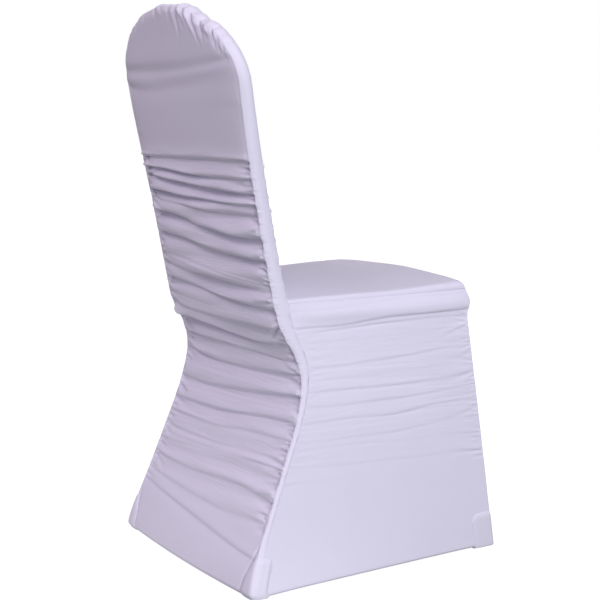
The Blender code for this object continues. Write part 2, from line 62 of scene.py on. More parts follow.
# Creases: height at the sitter's right seam, a quarter, half, three quarters and the left seam,
# then depth in mm at the right, the middle and the left, and the half width in mm
rear_creases = np.array([
    (0.0600, 0.0685, 0.0800, 0.0893, 0.0975, 0.9, 1.6, 2.2, 3.8),
    (0.1240, 0.1120, 0.1095, 0.1117, 0.1165, 0.3, 0.9, 1.4, 3.4),
    (0.1500, 0.1560, 0.1500, 0.1450, 0.1415, 1.8, 1.5, 2.0, 3.2),
    (0.2025, 0.1970, 0.1900, 0.1855, 0.1830, 1.6, 0.7, 1.5, 2.8),
    (0.2145, 0.2095, 0.2033, 0.1983, 0.1965, 1.9, 1.1, 2.0, 2.9),
    (0.2460, 0.2400, 0.2307, 0.2253, 0.2230, 1.3, 1.5, 2.8, 3.0),
    (0.2740, 0.2667, 0.2573, 0.2507, 0.2480, 3.2, 2.7, 2.9, 2.8),
    (0.3165, 0.3073, 0.2960, 0.2860, 0.2865, 3.4, 2.5, 3.1, 3.0),
    (0.3535, 0.3427, 0.3360, 0.3343, 0.3380, 3.4, 2.3, 4.2, 3.0),
    (0.3700, 0.3715, 0.3727, 0.3727, 0.3730, 0.9, 1.5, 3.4, 3.0),
    (0.4017, 0.3950, 0.3973, 0.4027, 0.4050, 2.4, 4.0, 4.6, 3.2),
    (0.4240, 0.4250, 0.4240, 0.4265, 0.4285, 1.2, 1.8, 0.9, 3.5),
    (0.4600, 0.4613, 0.4637, 0.4707, 0.4770, 1.8, 3.4, 2.2, 4.2),
    (0.4890, 0.4907, 0.4940, 0.4985, 0.5030, 1.4, 3.4, 1.2, 6.0),
    (0.5385, 0.5400, 0.5460, 0.5560, 0.5620, 2.8, 3.6, 2.6, 4.6),
    (0.5743, 0.5750, 0.5830, 0.5935, 0.5990, 2.8, 4.6, 3.2, 4.4),
    (0.6140, 0.6130, 0.6140, 0.6170, 0.6180, 1.8, 1.4, 0.9, 3.4),
    (0.6280, 0.6303, 0.6313, 0.6320, 0.6335, 3.0, 3.2, 4.2, 3.1),
    (0.6460, 0.6480, 0.6513, 0.6590, 0.6625, 3.0, 3.8, 3.2, 3.3),
    (0.6710, 0.6703, 0.6720, 0.6760, 0.6770, 1.7, 3.5, 2.7, 2.6),
    (0.7007, 0.6993, 0.6977, 0.6967, 0.6970, 1.8, 1.7, 2.3, 3.2)])

# Soft creases over the pad above the gathers, in the same columns
pad_creases = np.array([
    (0.7880, 0.7860, 0.7830, 0.7800, 0.7800, 0.3, 0.1, 0.0, 8.0),
    (0.8290, 0.8250, 0.8180, 0.8150, 0.8190, 0.1, 0.5, 1.5, 6.0),
    (0.8640, 0.8550, 0.8480, 0.8460, 0.8480, 0.7, 1.3, 1.0, 7.5)])
pad_ridge = np.array([(0.00, 0.850), (0.25, 0.8415), (0.50, 0.8350), (0.75, 0.8310), (1.00, 0.8300)])

# Short creases that start at one seam and die out: side, height at the seam, rise inwards in mm per
# cm, then length, depth and half width in mm
short_creases = np.array([
    (1, 0.7320, 0.6, 24, 1.9, 2.2), (1, 0.7245, 1.0, 16, 1.2, 2.0), (1, 0.5905, -0.8, 26, 2.2, 2.0),
    (1, 0.5835, -0.8, 24, 2.0, 1.8), (1, 0.6430, -1.5, 22, 1.8, 1.8), (1, 0.4380, -1.0, 20, 1.6, 2.0),
    (-1, 0.6860, 1.2, 24, 2.2, 2.0), (-1, 0.6795, 1.0, 18, 1.6, 1.8), (-1, 0.5070, 1.0, 28, 2.0, 2.4),
    (-1, 0.4530, 1.0, 26, 2.0, 2.2), (-1, 0.3905, 1.6, 24, 2.4, 2.0), (-1, 0.3840, 1.8, 18, 2.0, 1.8),
    (-1, 0.3717, 1.2, 22, 2.0, 2.0), (-1, 0.3393, 0.9, 24, 1.8, 2.0), (-1, 0.2270, 1.6, 26, 2.0, 2.0),
    (-1, 0.2085, 2.2, 22, 2.2, 1.9), (-1, 0.1930, 2.6, 24, 2.2, 1.9), (1, 0.3130, 0.4, 20, 2.0, 1.9),
    (1, 0.1700, 0.6, 24, 1.8, 2.2), (1, 0.1560, -0.5, 20, 1.5, 2.0)])

# Lumps along the crown: angle and reach in degrees, height in mm
crown_lumps = np.array([
    (44, 5, 0.9), (56, 6.5, -3.6), (72, 8, 2.6), (85, 4, -1.1), (95, 5, 0.9), (105, 4, -1.0), (116, 4, 0.9),
    (126, 4, -1.1), (137, 5, 0.7)])

# Puckers and puffs where the crown's seam is pulled in: angle round the arch in degrees (0 at the
# right shoulder), depth (less than 0 for a puff) and half width in mm, reach down the panel in mm, and
# how far each drifts to the right side on its way down
crown_puckers = np.array([
    (30, 1.2, 4.0, 9, 0.2), (37, 1.4, 4.0, 10, 0.3), (43.5, 3.4, 3.0, 13, 0.4), (49.5, -4.6, 6.5, 12, 0.5),
    (51.0, 1.8, 1.8, 10, 0.6), (56.3, 5.0, 3.4, 15, 0.4), (60, -2.0, 3.0, 8, 0.2), (64.5, 5.0, 4.2, 22, 0.6),
    (68.5, -4.2, 3.6, 22, 0.7), (71.8, 3.2, 2.6, 17, 0.8), (74.8, -4.2, 3.8, 17, 0.8),
    (78.0, 7.0, 4.4, 26, 0.1), (85, 1.6, 5.0, 16, 0.2), (96, -2.8, 4.5, 10, 0.9), (100.5, 3.0, 4.2, 13, 0.7),
    (112, 1.6, 4.5, 12, 0.1), (123, 2.2, 4.0, 14, 0.0), (135, 1.8, 4.0, 12, -0.2), (148, 1.2, 4.0, 10, -0.2)])


def smooth_along(stations, column, height):
    """Cubic through one column of a table against its first column, slopes from neighbouring rows."""
    keys, values = stations[:, 0], stations[:, column]
    slopes = np.empty(len(keys))
    slopes[0] = (values[1] - values[0]) / (keys[1] - keys[0])
    slopes[-1] = (values[-1] - values[-2]) / (keys[-1] - keys[-2])
    slopes[1:-1] = (values[2:] - values[:-2]) / (keys[2:] - keys[:-2])
    place = np.clip(height, keys[0], keys[-1])
    low = np.clip(np.searchsorted(keys, place, side="right") - 1, 0, len(keys) - 2)
    span = keys[low + 1] - keys[low]
    t = (place - keys[low]) / span
    return ((2 * t**3 - 3 * t**2 + 1) * values[low] + (t**3 - 2 * t**2 + t) * span * slopes[low]
            + (3 * t**2 - 2 * t**3) * values[low + 1] + (t**3 - t**2) * span * slopes[low + 1])


def crease_lines(creases, share):
    """Each crease's height, depth in metres at every share: smooth through its five and three stations."""
    five = np.column_stack([np.linspace(0, 1, 5), creases[:, :5].T])
    three = np.column_stack([np.linspace(0, 1, 3), creases[:, 5:8].T])
    count = len(creases)
    heights = np.stack([smooth_along(five, k + 1, share) for k in range(count)])
    depths = np.stack([smooth_along(three, k + 1, share) for k in range(count)]) * 0.001
    return heights, np.maximum(depths, 0)


def drift(rng, share, size, waves=3):
    """Slow uneven line: a few sine waves across, each shorter one smaller, with chance phases."""
    turns = np.arange(1, waves + 1)[:, None]
    phases = rng.uniform(0, 1, (waves, 1))
    return size * (np.sin(2 * np.pi * (turns * share[None, :] * 0.8 + phases)) / turns).sum(axis=0)


def creased(rng, height, share, creases, lip=0.55):
    """Relief of the creases: the cloth swells out above each line, turns under at it, and comes back
    slowly below. Both are bells with a short and a long flank: the trough lies 0.3 half widths below the
    line, and the swell 1.45 above it."""
    lines, depths = crease_lines(creases, share)
    relief = np.zeros_like(height)
    for line, depth, half_width in zip(lines, depths, creases[:, 8] * 0.001):
        line = line + drift(rng, share, 0.0009)
        depth = depth * (1 + drift(rng, share, 0.18, 5))
        width = half_width * (1 + drift(rng, share, 0.14, 4))
        off = (height - line) / width
        trough = np.where(off > -0.3, (off + 0.3) / 0.95, (off + 0.3) / 2.7)
        swell = np.where(off < 1.45, (off - 1.45) / 1.15, (off - 1.45) / 3.1)
        relief += depth * (lip * np.exp(-swell**2) - np.exp(-np.abs(trough)**1.45))
    return relief


def faint_creases(rng, height, share, low, high, count, depth, slope):
    """Many shallow part-length creases: each a narrow bell across, faded out along its length."""
    relief = np.zeros_like(height)
    for _ in range(count):
        middle, place = rng.uniform(0.02, 0.98), rng.uniform(low, high)
        reach, width = rng.uniform(0.10, 0.34), rng.uniform(0.0014, 0.0032)
        lean = slope(place) + rng.normal(0, 0.012)
        line = place + lean * (share - middle) + drift(rng, share, 0.0008)
        fade = np.exp(-((share - middle) / reach)**2)
        off = (height - line) / width
        strength = depth * rng.uniform(0.3, 1.0)
        relief -= strength * fade * (np.exp(-off**2) - 0.5 * np.exp(-((off + 1.9) / 1.3)**2))
    return relief


def seam_gathers(rng, distance, height, low, high, spacing, depth, lean):
    """Short puckers from a seam: narrow bells that widen and die away with distance from it."""
    relief = np.zeros_like(height)
    place = low
    while place < high:
        reach = rng.choice([0.012, 0.020, 0.032, 0.050], p=[0.30, 0.34, 0.24, 0.12])
        width = rng.uniform(0.0017, 0.0028)
        line = place + (lean + rng.normal(0, 0.16)) * distance
        spread = width * (1 + distance / 0.030)
        strength = depth * rng.uniform(0.35, 1.0)
        off = (height - line) / spread
        relief += strength * np.exp(-(distance / reach)**2) * (0.5 * bell(off, 1.5, 1.0) - np.exp(-off**2))
        place += spacing * rng.uniform(0.62, 1.45)
    start = 0.55 + 0.45 * np.clip(distance / 0.004, 0, 1)
    return relief * start


def raised(points, relief, outward):
    """Moves a grid of points along its own normals, which are turned to the outward side."""
    normals = np.cross(np.gradient(points, axis=1), np.gradient(points, axis=0))
    normals /= np.maximum(np.linalg.norm(normals, axis=2, keepdims=True), 1e-12)
    turn = np.sign((normals * outward).sum())
    return points + normals * (relief * turn)[..., None]


# Turned-in edge at a seam: distance from the seam line and how far the cloth has turned in there, then
# where a panel's other columns begin, and the part of a turn that goes each way on a slant
lip_distance = np.array([0.00003, 0.00003, 0.00010, 0.0005, 0.0012, 0.0024])
lip_turn = np.array([0.0045, 0.0018, 0.00018, 0.00008, 0.00003, 0.0])
lip_end, slant = 0.0042, 0.7


def lip_depth(distance):
    """How far the cloth turns in at a distance from a seam."""
    return np.interp(distance, lip_distance[2:], lip_turn[2:])


def add_node(tree, kind, values=None, **settings):
    """Adds a node to a material or to the world: its own settings, then the values of its sockets."""
    node = tree.nodes.new("ShaderNode" + kind)
    for setting, value in settings.items():
        setattr(node, setting, value)
    for socket, value in (values or {}).items():
        node.inputs[socket].default_value = value
    return node


def join_nodes(tree, *joins):
    """Links nodes. Each join is a node, its output, the node it goes to and that one's input."""
    for source, output, target, socket in joins:
        tree.links.new(source.outputs[output], target.inputs[socket])


def knit(name, tint, seed):
    """White stretch knit: fine courses, a soft sheen, slight mottling, and pinched lines in the gathers."""
    material = bpy.data.materials.new(name)
    material.use_nodes = True
    tree = material.node_tree
    shader = tree.nodes["Principled BSDF"]
    for socket, value in (("Roughness", 0.72), ("Specular IOR Level", 0.22), ("Sheen Weight", 0.22),
                          ("Sheen Roughness", 0.45)):
        shader.inputs[socket].default_value = value
    cloth_map = add_node(tree, "UVMap", uv_map="cloth")
    place = add_node(tree, "TexCoord")
    mottle = add_node(tree, "TexNoise", {"Scale": 14 + seed, "Detail": 3})
    darker = [value * 0.965 for value in tint]
    shade = add_node(tree, "Mix", {6: (*darker, 1), 7: (*tint, 1)}, data_type="RGBA")
    join_nodes(tree, (place, "Object", mottle, "Vector"), (mottle, "Fac", shade, "Factor"),
               (shade, 2, shader, "Base Color"))

    course_size = {"Scale": 380, "Distortion": 0.6, "Detail Scale": 900}
    courses = add_node(tree, "TexWave", course_size, bands_direction="Y")
    wales = add_node(tree, "TexWave", {"Scale": 520, "Distortion": 0.4}, bands_direction="X")
    weave = add_node(tree, "Math", operation="MULTIPLY")
    weave_bump = add_node(tree, "Bump", {"Strength": 0.18, "Distance": 0.00012})
    join_nodes(tree, (cloth_map, "UV", courses, "Vector"), (cloth_map, "UV", wales, "Vector"),
               (courses, "Fac", weave, 0), (wales, "Fac", weave, 1), (weave, 0, weave_bump, "Height"))

    stretch = add_node(tree, "Mapping", {"Scale": (16, 230, 1)})
    pinches = add_node(tree, "TexNoise", {"Scale": 1.0, "Detail": 3, "Distortion": 0.35})
    gather = add_node(tree, "Attribute", attribute_name="gather")
    pinched = add_node(tree, "Math", operation="MULTIPLY")
    gather_bump = add_node(tree, "Bump", {"Strength": 0.55, "Distance": 0.0016})
    join_nodes(tree, (cloth_map, "UV", stretch, "Vector"), (stretch, "Vector", pinches, "Vector"),
               (pinches, "Fac", pinched, 0), (gather, "Fac", pinched, 1), (pinched, 0, gather_bump, "Height"),
               (weave_bump, "Normal", gather_bump, "Normal"), (gather_bump, "Normal", shader, "Normal"))
    return material


def grid_faces(points, first):
    """Corner numbers of a grid's faces, and the cloth map: metres walked across and up the grid."""
    rows, columns = points.shape[:2]
    corner = first + np.arange(rows * columns).reshape(rows, columns)
    faces = np.stack([corner[:-1, :-1], corner[:-1, 1:], corner[1:, 1:], corner[1:, :-1]], axis=-1)
    across = np.linalg.norm(np.diff(points, axis=1, prepend=points[:, :1]), axis=2).cumsum(axis=1)
    up = np.linalg.norm(np.diff(points, axis=0, prepend=points[:1]), axis=2).cumsum(axis=0)
    return corner, faces.reshape(-1, 4), np.stack([across, up], axis=-1)


def sew(name, points, outward, material, gather, thickness=cloth, crown=None):
    """Makes a grid of points into a sheet of cloth facing outward, with its map in metres and its
    thickness. A crown is a second grid above the first, with a whole number of its columns to each one
    below, and joined to it by a row of many-sided faces."""
    points = points + np.array([0, frame_shift, 0])
    corner, faces, cloth_map = grid_faces(points, 0)
    normals = np.cross(points[:-1, 1:] - points[:-1, :-1], points[1:, :-1] - points[:-1, :-1])
    turned = (normals * np.broadcast_to(outward, points.shape)[:-1, :-1]).sum() < 0
    order = slice(None, None, -1 if turned else 1)
    places, cloth_map, faces = points.reshape(-1, 3), cloth_map.reshape(-1, 2), faces[:, order].tolist()
    strength = np.broadcast_to(gather, points.shape[:2]).ravel()
    if crown is not None:
        crown = crown + np.array([0, frame_shift, 0])
        top_corner, top_faces, top_map = grid_faces(crown, len(places))
        parts = (top_corner.shape[1] - 1) // (corner.shape[1] - 1)
        last = top_corner.shape[1] - parts
        row = np.stack([top_corner[0, k:last + k:parts] for k in range(parts, -1, -1)], axis=1)
        joint = np.hstack([corner[-1, :-1, None], corner[-1, 1:, None], row])
        faces += joint[:, order].tolist() + top_faces[:, order].tolist()
        top_map[..., 1] += cloth_map[corner[-1, corner.shape[1] // 2], 1]
        top_map[..., 0] = np.interp(np.arange(top_corner.shape[1]) / parts, np.arange(corner.shape[1]),
                                    cloth_map[corner[-1], 0])
        places = np.vstack([places, crown.reshape(-1, 3)])
        cloth_map = np.vstack([cloth_map, top_map.reshape(-1, 2)])
        strength = np.append(strength, np.zeros(top_corner.size))
    mesh = bpy.data.meshes.new(name)
    mesh.from_pydata(places.tolist(), [], faces)
    loops = np.empty(len(mesh.loops), dtype=np.int32)
    mesh.loops.foreach_get("vertex_index", loops)
    mesh.uv_layers.new(name="cloth").data.foreach_set("uv", cloth_map[loops].ravel())
    mesh.attributes.new("gather", "FLOAT", "POINT").data.foreach_set("value", strength.astype(np.float32))
    mesh.shade_smooth()
    mesh.materials.append(material)
    piece = bpy.data.objects.new(name, mesh)
    bpy.context.scene.collection.objects.link(piece)
    solidify = piece.modifiers.new("Thickness", "SOLIDIFY")
    solidify.thickness = thickness
    solidify.offset = -1.0
    return piece


def arch_height(angle):
    """Height of the crown's rear seam: half an ellipse with a swell at the left shoulder and the lumps."""
    swell = swell_height * np.exp(-((angle - swell_angle) / swell_reach)**2)
    degrees = np.degrees(angle)
    lumps = sum(rise * 0.001 * bell(degrees, middle, reach) for middle, reach, rise in crown_lumps)
    return shoulder + (crown_rise + swell) * np.sin(angle) + crown_peak * np.sin(angle)**8 + lumps


def bell(value, middle, width):
    """Smooth bump: 1 at the middle, fading over the width."""
    return np.exp(-((value - middle) / width)**2)


def step_up(value, low, high):
    """0 below low, 1 above high, smooth between."""
    t = np.clip((value - low) / (high - low), 0, 1)
    return t * t * (3 - 2 * t)


def panel_columns(half_width, count):
    """Places across a panel from -1 to 1: even in angle, with the turned-in edges' own columns."""
    inner = 1 - lip_end / half_width
    middle = -np.cos(np.linspace(np.arccos(inner), np.pi - np.arccos(inner), count))
    edge = 1 - lip_distance / half_width
    return np.concatenate([-edge, middle, edge[::-1]])


def edge_turn(count):
    """Extra turn-in of the outermost columns or rows, on top of lip_depth."""
    turn = np.zeros(count)
    turn[0] = turn[-1] = lip_turn[0] - lip_turn[2]
    turn[1] = turn[-2] = lip_turn[1] - lip_turn[2]
    return turn


def top_turn(count):
    """The same for the top rows alone, above an open hem."""
    turn = edge_turn(count)
    turn[:2] = 0
    return turn


def tucked(to_seam, column_turn, row_turn):
    """How far each point turns in: by its distance from a seam, with the edges' own extra turns."""
    return lip_depth(to_seam) + np.maximum(column_turn[None, :], row_turn[:, None])


def below_arch(drop, angle):
    """Distance from the crown's seam: the drop below it, shortened by the arch's slope at that angle."""
    slope = crown_rise / crown_half / np.tan(angle)
    return drop / np.sqrt(1 + slope**2)


def inward_of(over, angle, height, deeper):
    """Where a back panel's edge turns in: forward or to the rear as deeper says, and to the middle beside
    the pad or down under the crown's seam."""
    up_share = np.where(height > shoulder, np.sin(angle), 0)
    across = -np.sign(over) * np.sqrt(1 - up_share**2)
    return slant * np.stack([across, np.full_like(height, deeper), -up_share], axis=-1)


def pucker(off):
    """Section across a pucker: a narrow trough with a soft shoulder on either side."""
    return 0.30 * bell(off, -2.0, 1.2) + 0.25 * bell(off, 2.0, 1.2) - np.exp(-off**2)


def pocket_reach(height):
    """How far a rear foot pocket reaches along the rear panel: less and less towards its top."""
    return 0.031 - 0.021 * (height / pocket_top)**1.5


def crease_rows(creases, share, low, high, step):
    """Row heights that follow the creases: straight between one crease's line and the next one's."""
    lines, _ = crease_lines(creases, share)
    lines = np.vstack([np.broadcast_to(low, share.shape), lines, np.broadcast_to(high, share.shape)])
    gaps = np.diff(lines.mean(axis=1))
    counts = np.maximum(np.round(gaps / step).astype(int), 3)
    places = [k + 0.5 - 0.5 * np.cos(np.pi * (0.3 * t + 0.7 * np.arccos(1 - 2 * t) / np.pi))
              for k, t in ((k, np.arange(n) / n) for k, n in enumerate(counts))]
    places = np.append(np.concatenate(places), len(counts))
    low_line = np.minimum(places.astype(int), len(counts) - 1)
    part = (places - low_line)[:, None]
    return lines[low_line] * (1 - part) + lines[low_line + 1] * part


def finer(values, parts):
    """A line of values with parts - 1 more between each pair, straight between them."""
    count = (len(values) - 1) * parts + 1
    return np.interp(np.arange(count) / parts, np.arange(len(values)), values)


def rear_cloth(over, column_turn, row_turn, height, ruching):
    """Rear panel at its places across (over) and heights: the bowed surface between the seams, moved
    out along its normal by pad creases, crown puckers and the given ruching, and turned in at seams."""
    share, angle = (over + 1) / 2, np.arccos(-over)
    arch = arch_height(angle)
    crown = np.clip((height - gather_top) / (arch - gather_top), 0, 1)
    half_width = smooth_along(rear_stations, 2, np.minimum(height, shoulder))
    bow = smooth_along(rear_stations, 3, height) * (1 - 0.55 * step_up(height, 0.24, 0.50)) * (1 - over**2)
    depth = smooth_along(rear_stations, 1, height) + bow * (1 - crown**3)
    points = np.stack([half_width * over, depth, height], axis=-1)
    to_side = half_width * (1 - np.abs(over))
    to_arch = below_arch(arch - height, np.clip(angle, 0.02, np.pi - 0.02))
    to_seam = np.minimum(to_side, to_arch)

    relief = ruching + creased(np.random.default_rng(13), height, share, pad_creases) * 1.9
    relief += 0.0019 * bell(height, smooth_along(pad_ridge, 1, share), 0.0075) * (1 - over**4)
    rounded_side = 0.0042 * (1 - np.exp(-to_side / 0.020)) * step_up(height, 0.24, 0.50)
    relief += rounded_side * (1 - np.exp(-np.maximum(to_arch, 0) / 0.0035))
    rounded_over = step_up(np.degrees(angle), 48, 88) * step_up(height, 0.82, 0.86)
    relief += 0.0012 * (1 - np.exp(-np.maximum(to_arch, 0) / 0.0028)) * rounded_over
    for degrees, deep, wide, reach, lean in crown_puckers:
        off = ((over + math.cos(math.radians(degrees))) * crown_half + lean * to_arch) * 1000 / wide
        fade = deep * 0.001 * np.exp(-(to_arch * 1000 / reach)**2) * step_up(height, 0.80, 0.83)
        relief += fade * pucker(off)
    near_arch = bell(np.degrees(angle), 44, 20) * step_up(height, 0.835, 0.875)
    relief -= 0.0020 * bell(to_arch, 0.0115, 0.0075) * near_arch
    deepest = 0.0105
    relief = np.where(relief < 0, -deepest * np.tanh(-relief / deepest), relief)
    kept = np.where(to_side < to_arch, np.where(over < 0, 0.16, 0.10), 0.60)
    relief *= kept + (1 - kept) * step_up(to_seam / np.where(over < 0, 0.0075, 0.0120), 0, 1)
    points = raised(points, relief, np.array([0, 1, 0]))

    tuck = tucked(to_seam, column_turn, row_turn)
    points += inward_of(over, angle, height, -1) * tuck[..., None]
    points[..., 0] += crown_sway * (crown * np.sin(angle))**2
    return points, relief


# Half width that panels' columns are spaced for, then how many times deeper than read the creases are
# made below, and how much more above
nominal_half = 0.2
crease_scale, upper_scale = 1.45, 0.87
rng = np.random.default_rng(11)
over = panel_columns(nominal_half, 76)
share = (over + 1) / 2
crown_parts = 4
over_fine = finer(over, crown_parts)

hem_line = hem_height + 0.0010 * np.clip(1 - np.abs(over)**6, 0, 1)
gathered_rows = crease_rows(rear_creases, share, hem_line, gather_top, 0.00172)
plain_shares = 1 - (1 - np.linspace(0, 1, 44)[1:])**1.25
coarse = plain_shares < 0.45


def plain_rows(over, shares):
    """Rows between the gathers and the crown's seam, each a share of the way up."""
    arch = arch_height(np.arccos(-over))
    return gather_top + (arch - 0.0026 - gather_top) * shares[:, None]


height = np.vstack([gathered_rows, plain_rows(over, plain_shares[coarse])])
half_width = smooth_along(rear_stations, 2, np.minimum(height, shoulder))
ruched = step_up(height, 0.085, 0.16) * (1 - step_up(height, 0.700, 0.712))
ruching = creased(rng, height, share, rear_creases)
ruching *= crease_scale + upper_scale * step_up(height, 0.33, 0.46)
main_slope = np.polyfit(rear_creases[:, 2], rear_creases[:, 4] - rear_creases[:, 0], 5)
ruching += ruched * faint_creases(rng, height, share, low=0.10, high=0.705, count=90, depth=0.0011,
                                  slope=lambda place: np.polyval(main_slope, place))
for side, lean in ((RIGHT, -0.10), (LEFT, -0.12)):
    to_this = half_width * (1 - side * over)
    ruching += seam_gathers(rng, to_this, height, low=0.105, high=0.702, spacing=0.0062, depth=0.0062,
                            lean=lean)
for side, at, climb, length, deep, wide in short_creases:
    inwards = half_width * (1 - side * over)
    off = (height - at - climb * 0.1 * inwards) * 1000 / (wide * (1 + inwards / 0.040))
    fade = np.exp(-(inwards * 1000 / length)**2) * deep * 0.0014
    ruching += fade * (0.5 * bell(off, 1.5, 1.2) - np.exp(-np.abs(off)**1.5))
for _ in range(9):
    tall, broad = rng.uniform(0.030, 0.075), rng.uniform(0.8, 2.4)
    bend = 0.8 * np.sin(2 * np.pi * broad * share + rng.uniform(0, 6.28))
    ruching += 0.0006 * ruched * np.sin(2 * np.pi * (height / tall + 0.5 * broad * share) + bend)
for side, deep in ((RIGHT, 0.0038), (LEFT, 0.0022)):
    off = (half_width * (1 - side * over) - pocket_reach(height) - 0.0005) * 1000
    fold = bell(off, 0.6, 2.3) * step_up(height, 0.004, 0.012) * (1 - step_up(height, 0.074, 0.090))
    ruching -= deep * fold
hem_rise = height - hem_line
ruching += 0.0003 * (1 - step_up(hem_rise, 0.009, 0.011))

turn_in = edge_turn(len(over))
low_points, low_relief = rear_cloth(over, turn_in, np.zeros(len(height)), height, ruching)
arch = arch_height(np.arccos(-over_fine))
fine_height = np.vstack([plain_rows(over_fine, plain_shares[~coarse]), arch - lip_distance[::-1][:, None]])
fine_turn = finer(turn_in, crown_parts)
top_points, top_relief = rear_cloth(over_fine, fine_turn, top_turn(len(fine_height)), fine_height, 0)
seam_heights = np.append(height[:, 0], [shoulder])
seam_waves = {RIGHT: np.append(low_relief[:, 0], 0), LEFT: np.append(low_relief[:, -1], 0)}
arch_angles, arch_waves = np.degrees(np.arccos(-over_fine)), top_relief[-1].copy()

white_knit = knit("stretch_knit_white", (0.798, 0.768, 0.935), 0)
rear_panel = sew("rear_panel", low_points, np.array([0, 1, 0]), white_knit, ruched, crown=top_points)
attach(rear_panel, "root")
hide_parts("back_panel")

# Edge band. A plain boxing strip that goes up one rear leg, over the crown and down the other,
# stretched round the pad's edge. Its rear seam holds the rear panel's gathers, its front seam the
# side skirts below the seat and the inner panel above it.
band_stations = np.array([  # height, width forward of the rear seam, splay of the front edge
    (0.000, 0.0100, 0.0030), (0.250, 0.0100, 0.0030), (0.330, 0.0130, 0.0028), (0.400, 0.0210, 0.0020),
    (0.460, 0.0262, 0.0015), (0.530, 0.0266, -0.0022), (0.640, 0.0268, -0.0030), (0.720, 0.0258, -0.0015),
    (0.825, 0.0225, 0.0012)])
band_crown_width, band_crown_lift = 0.025, 0.001
side_bulge, crown_bulge, bulge_focus = 0.0032, 0.0022, 8


def rear_seam(side, height):
    """Seam between rear panel and edge band, below the shoulder."""
    half = side * smooth_along(rear_stations, 2, height)
    return np.stack([half, smooth_along(rear_stations, 1, height), height], axis=-1)


def rear_arch(angle):
    """The same seam over the crown, swaying a little to the left."""
    height = arch_height(angle)
    across = crown_sway * np.sin(angle)**2 - crown_half * np.cos(angle)
    return np.stack([across, smooth_along(rear_stations, 1, height), height], axis=-1)


def band_front(side, height):
    """Front seam of the band, at the same height as the rear seam's point."""
    splay = side * smooth_along(band_stations, 2, height)
    width = smooth_along(band_stations, 1, height)
    return rear_seam(side, height) + np.stack([splay, -width, 0 * height], axis=-1)


def band_front_arch(angle):
    """The band's front seam over the crown: a little wider and higher at the top."""
    width = band_stations[-1, 1] + (band_crown_width - band_stations[-1, 1]) * np.sin(angle)
    shift = [-band_stations[-1, 2] * np.cos(angle), -width, band_crown_lift * np.sin(angle)]
    return rear_arch(angle) + np.stack(shift, axis=-1)


rng = np.random.default_rng(23)
leg = np.concatenate([[hem_height], np.linspace(0.006, shoulder - 0.0012, 500)])
turn = np.linspace(0, np.pi, 300)
rear_edge = np.vstack([rear_seam(RIGHT, leg), rear_arch(turn), rear_seam(LEFT, leg[::-1])])
front_edge = np.vstack([band_front(RIGHT, leg), band_front_arch(turn), band_front(LEFT, leg[::-1])])
out_side = np.tile([1.0, 0, 0], (len(leg), 1))
out_arch = np.stack([-np.cos(turn) * crown_rise, 0 * turn, np.sin(turn) * crown_half], axis=-1)
out_arch /= np.linalg.norm(out_arch, axis=1, keepdims=True)
band_out = np.vstack([-out_side, out_arch, out_side])
straight = np.zeros_like(leg)
arch_degrees = np.concatenate([straight - 0.5, np.degrees(turn), straight + 180.5])
top_share = np.concatenate([straight, np.sin(turn)**bulge_focus, straight])
level = rear_edge[:, 2]
width = np.linalg.norm(front_edge - rear_edge, axis=1)
fade = step_up(level, 0.070, 0.125)
side_round = side_bulge + 0.0018 * step_up(level, 0.44, 0.52)
bulge = np.minimum(side_round + (crown_bulge - side_round) * top_share, width * 0.30) * fade

edge_places = np.append(lip_distance, lip_end)
inner_share = np.linspace(0, 1, 12)[1:-1]
edge_share = edge_places[None, :] / width[:, None]
middle_share = edge_share[:, -1:] + (1 - 2 * edge_share[:, -1:]) * inner_share[None, :]
band_share = np.hstack([edge_share, middle_share, 1 - edge_share[:, ::-1]])
band_points = rear_edge[:, None] + (front_edge - rear_edge)[:, None] * band_share[..., None]
band_relief = bulge[:, None] * 4 * band_share * (1 - band_share)
beside_pad = (step_up(level, 0.48, 0.54) * (1 - step_up(level, 0.70, 0.78)))[:, None]
band_relief += 0.0014 * beside_pad * bell(band_share, 0.27, 0.22)

walk = np.concatenate([[0], np.linalg.norm(np.diff(rear_edge, axis=0), axis=1).cumsum()])[:, None]
on_arch = (arch_degrees >= 0) & (arch_degrees <= 180)
for degrees, deep, wide in crown_puckers[:, :3]:
    middle = np.interp(degrees, np.degrees(turn), walk[len(leg):len(leg) + len(turn), 0])
    off = (walk - middle - 0.004 * (band_share - 0.5)) * 1000 / (wide * (1 + 0.5 * band_share))
    fade = deep * 0.00095 * np.exp(-(band_share / 0.85)**2) * step_up(band_share, 0.0, 0.30)
    band_relief += 0.55 * fade * pucker(off)
pulled = step_up(level, 0.10, 0.16) * (1 - step_up(level, 0.69, 0.71)) * ~on_arch
for at_rear, from_edge in ((True, band_share), (False, 1 - band_share)):
    ripple = np.zeros_like(walk[:, 0])
    for metres in ((0.0061, 0.0093, 0.0147, 0.021) if at_rear else (0.016, 0.023, 0.034, 0.052)):
        swing = rng.normal(0, 1.2) + 0.9 * np.sin(walk[:, 0] / rng.uniform(0.03, 0.06))
        ripple += np.sin(2 * np.pi * walk[:, 0] / metres + swing)
    strength = 0.00026 if at_rear else 0.00038
    band_relief += (strength * ripple * pulled)[:, None] * np.exp(-(from_edge / 0.22)**2)

